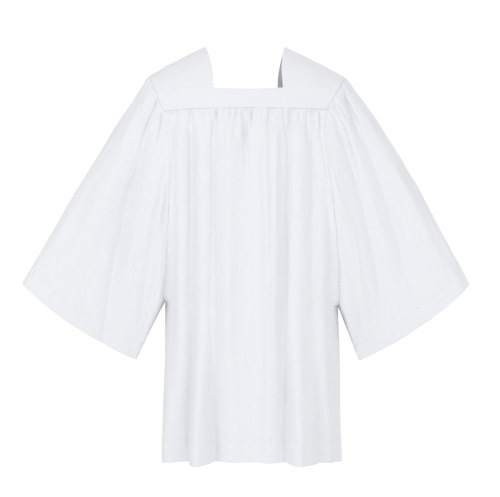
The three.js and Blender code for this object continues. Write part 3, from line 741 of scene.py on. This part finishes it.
right_sleeve = {
    "name": "sleeve_right", "side": 1, "facing": -1, "outer": (465, -493), "inner": (237, -652), "crown": 13,
    "folds": table(SLEEVE_FOLD_COLUMNS, [
        (0.18, 0.28, 5, 5, 1, 0.060),
        (0.29, 0.49, -9, -13, -4, 0.042),
        (0.36, 0.60, 4, 4, 1, 0.035),
        (0.41, 0.70, -9, -11, -4, 0.042),
        (0.62, 0.94, 2, 0, 0, 0.065),
        (-0.20, -0.30, 5, 6, 2, 0.070),
        (-0.32, -0.56, -9, -12, -4, 0.045),
        (-0.50, -0.82, 6, 7, 1, 0.060),
        (-0.64, -0.90, -4, -6, -1, 0.035),
    ]),
    "creases": table(CREASE_COLUMNS, [
        (177, -116, 227, -280, 6, -6.5, 3.0, 5.5),
        (203, -98, 246, -226, 0, -8.0, 3.4, 6.0),
        (186, -120, 206, -210, 0, 3.4, 5.0, 6.0),
        (218, -120, 300, -330, 0, 3.4, 5.0, 12.0),
    ]),
}


def armhole(sleeve, turn):
    """The armhole's edge. Turn is 0 at the shoulder and 1 under the arm, and below 0 at the back."""
    points = np.zeros(turn.shape + (3,))
    for face in (front, back):
        here = turn >= 0 if face is front else turn < 0
        far = np.abs(turn[here])
        side = np.full(far.shape, float(sleeve["side"]))
        on_band = 1 + (far - STRAP_ROUND) / (YOKE_ROUND - STRAP_ROUND)
        row = np.where(far < STRAP_ROUND, far / STRAP_ROUND, on_band)
        level = np.maximum((far - YOKE_ROUND) / (1 - YOKE_ROUND), 0) ** ARMHOLE_CROWDING
        on_yoke = yoke_surface(face, np.minimum(row, 2), side)
        points[here] = np.where((far < YOKE_ROUND)[:, None], on_yoke, body_surface(face, level, side))
    return points


def cuff(sleeve, turn):
    """The cuff's edge, round over the arm and narrow at the fold underneath."""
    angle = pi * np.abs(turn)
    share = (1 - np.cos(angle)) / 2
    (outer_x, outer_z), (inner_x, inner_z) = sleeve["outer"], sleeve["inner"]
    width = np.hypot(inner_x - outer_x, inner_z - outer_z)
    drop = CUFF_FRONT_DROP * np.sin(angle) ** 2
    taper = lerp(CUFF_INNER_SHARE, 1, ((1 + np.cos(angle)) / 2) ** CUFF_TAPER_POWER)
    x = lerp(outer_x, inner_x, share) + sleeve["side"] * drop * (outer_z - inner_z) / width
    y = -np.sign(turn) * CUFF_HALF_DEPTH * np.abs(np.sin(angle)) ** CUFF_ROUNDNESS * taper
    z = lerp(outer_z, inner_z, share) - drop * abs(outer_x - inner_x) / width
    return np.stack([x, y, z], axis=-1)


def sleeve_cloth(sleeve):
    """A sleeve's outer face, from its seam up the back, over the arm and down the front."""
    turn = stations(SLEEVE_ROUND, 430, BESIDE_SEAM, BESIDE_SEAM) / SLEEVE_ROUND * 2 - 1
    top = len(turn) // 2
    head, end = armhole(sleeve, turn), cuff(sleeve, turn)
    length = np.linalg.norm(end - head, axis=1)
    seam = (SEAM_GAP / 2, 0.8, 1.8, 3, 4.5, 6.5, 9, 12, 15, 18.5, 22)
    hem = (0, 0.6, 2, 8, 16, 24, 30, 32.4, 33.5, 34.5, 35.6, 38)
    down = stations(length, 78, seam, hem)
    along = down / length
    smooth = lerp(head, end, along[..., None])
    fall = np.array([sleeve["outer"][0] - head[top, 0], 0, sleeve["outer"][1] - head[top, 2]])
    fall = fall / np.linalg.norm(fall)
    outward = np.array([-sleeve["side"] * fall[2], 0, abs(fall[0])])
    crown = sleeve["crown"] * np.sin(pi * along**CROWN_POWER) * np.cos(pi * turn / 2) ** 2
    smooth = smooth + outward * crown[..., None]
    folds = sleeve["folds"]
    rise = 0
    for n in range(len(folds["head"])):
        at_head, at_cuff, head_rise, mid_rise, cuff_rise, wide = (folds[k][n] for k in folds)
        aside = turn - lerp(at_head, at_cuff, along)
        rise = rise + fold(aside, wide, ease(2 * along, head_rise, mid_rise, cuff_rise))
    rise = rise + INNER_SWELL * smoothstep(*SWELL_SPAN, np.abs(turn)) * ease(2 * along, 0.4, 1, 0.3)
    rise = rise * smoothstep(0, SLEEVE_FOLD_START, along) * smoothstep(1, UNDERARM_FOLD, np.abs(turn))
    smooth[..., 1] -= np.sign(turn) * rise
    x, y, z = np.moveaxis(smooth, 2, 0)
    from_cuff = length - down
    from_fold = SLEEVE_ROUND / 2 * (1 - np.abs(turn)) * lerp(1, SLEEVE_CUFF_SHARE, along)
    round_edge = np.cumsum(np.linalg.norm(np.diff(head, axis=0, prepend=head[:1]), axis=1))
    round_edge = (round_edge - round_edge[top])[None, :] * np.ones_like(down)
    over_cap = 1 - smoothstep(*CAP_END, np.abs(round_edge))
    lift = dip(down, SEAM_SINK, 3) * over_cap + dip(from_fold, SEAM_SINK, 2)
    lift = lift + dip(from_cuff, HEM_ROLL, 0.6)
    creases = creased(sleeve["creases"], x, z) * np.where(turn < 0, BACK_CREASE_SHARE, 1)
    lift = lift + creases * smoothstep(0, 14, down)
    gathers = tucks(round_edge, down, spacing=11, deep=3.4, long=34, seed=71 + sleeve["side"])
    lift = lift + gathers * gathered_free(down) * over_cap
    puff = smoothstep(0, 8, down) * bump(down, PUFF_LENGTH) * over_cap
    uneven = 0.8 * waves(round_edge, down, wide=30, long=60, seed=81 + sleeve["side"])
    lift = lift + puff * (PUFF_RISE + uneven)
    stitch = from_cuff - CUFF_DEPTH
    around = turn * SLEEVE_ROUND / 2
    pucker = waves(around, down, wide=24, long=60, seed=91 + sleeve["side"])
    lift = lift + turned_edge(stitch, pucker)
    hanging = smoothstep(0, 50, down) * smoothstep(0, 30, from_fold)
    slow = waves(around, down, wide=70, long=150, seed=101 + sleeve["side"])
    fine = waves(around, down, wide=26, long=60, seed=111 + sleeve["side"])
    lift = lift + SLOW_WAVES * slow * hanging + FINE_WAVES * fine
    outer = smooth + normals(smooth, sleeve["facing"]) * lift[..., None]
    thick = CLOTH * (1 + smoothstep(0.5, -0.5, stitch))
    return outer, thick, stitch_line(np.swapaxes(outer, 0, 1), from_cuff.T, CUFF_DEPTH)


for sleeve in (left_sleeve, right_sleeve):
    outer, thick, cuff_line = sleeve_cloth(sleeve)
    sleeve["cloth"] = cloth_piece(sleeve["name"] + "_cloth", outer, sleeve["facing"], thick)
    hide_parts(sleeve["name"])
    sewn = stitches(sleeve["name"] + "_cuff_stitches", cuff_line)

# ---------------------------------------------------------------------------------------------
# The studio. The surplice is held up at its shoulders, as high as a grown wearer's, over a plain
# pale floor. The light is soft and comes mostly from the front, with white all round.
# ---------------------------------------------------------------------------------------------

FLOOR_LEVEL = -1.45
FLOOR_RADIUS = 2.9
CAMERA_PLACE = (0.0104, -3.0, -0.4191)
CAMERA_LENS = 103.8
LIT_MIDDLE = (0, 0, -0.4)

bpy.ops.mesh.primitive_circle_add(
    vertices=96, radius=FLOOR_RADIUS, fill_type="NGON", location=(0, 0, FLOOR_LEVEL)
)
floor = bpy.context.object
floor.name = "floor"
paint = bpy.data.materials.new("white_matt_floor_paint")
paint.use_nodes = True
paint.node_tree.nodes.clear()
matt = add_node(paint.node_tree, "ShaderNodeBsdfPrincipled", Base_Color=linear("#F2F2F2"), Roughness=0.9)
add_node(paint.node_tree, "ShaderNodeOutputMaterial", Surface=matt.outputs[0])
floor.data.materials.append(paint)


def softbox(name, place, side, power):
    """A square soft light that points at the middle of the surplice."""
    light = bpy.data.lights.new(name, "AREA")
    light.shape = "RECTANGLE"
    light.size = light.size_y = side
    light.energy = power
    lamp = bpy.data.objects.new(name, light)
    lamp.location = place
    lamp.rotation_euler = (Vector(LIT_MIDDLE) - Vector(place)).to_track_quat("-Z", "Y").to_euler()
    bpy.context.scene.collection.objects.link(lamp)


softbox("key", (-2.4, -2.9, 0.8), side=1.4, power=27)
softbox("fill", (2.0, -3.0, 0.4), side=2.0, power=19)
softbox("back", (1.4, 3.0, 0.9), side=1.6, power=34)

# The white all round is brighter to the camera than the light it gives, and so stays quite white.
world = bpy.data.worlds.new("white_studio")
bpy.context.scene.world = world
world.use_nodes = True
world.node_tree.nodes.clear()
seen = add_node(world.node_tree, "ShaderNodeBackground", Color=linear("#FFFFFF"), Strength=1.05)
lit = add_node(world.node_tree, "ShaderNodeBackground", Color=linear("#FDFDFF"), Strength=0.74)
ray = add_node(world.node_tree, "ShaderNodeLightPath")
both = add_node(
    world.node_tree, "ShaderNodeMixShader",
    _0=ray.outputs["Is Camera Ray"], _1=lit.outputs[0], _2=seen.outputs[0],
)
add_node(world.node_tree, "ShaderNodeOutputWorld", Surface=both.outputs[0])

camera = bpy.data.objects.new("camera", bpy.data.cameras.new("camera"))
camera.location = CAMERA_PLACE
camera.rotation_euler = (pi / 2, 0, 0)
camera.data.lens = CAMERA_LENS
camera.data.sensor_width = 36
bpy.context.scene.collection.objects.link(camera)
bpy.context.scene.camera = camera
bpy.context.scene.view_settings.view_transform = "Standard"
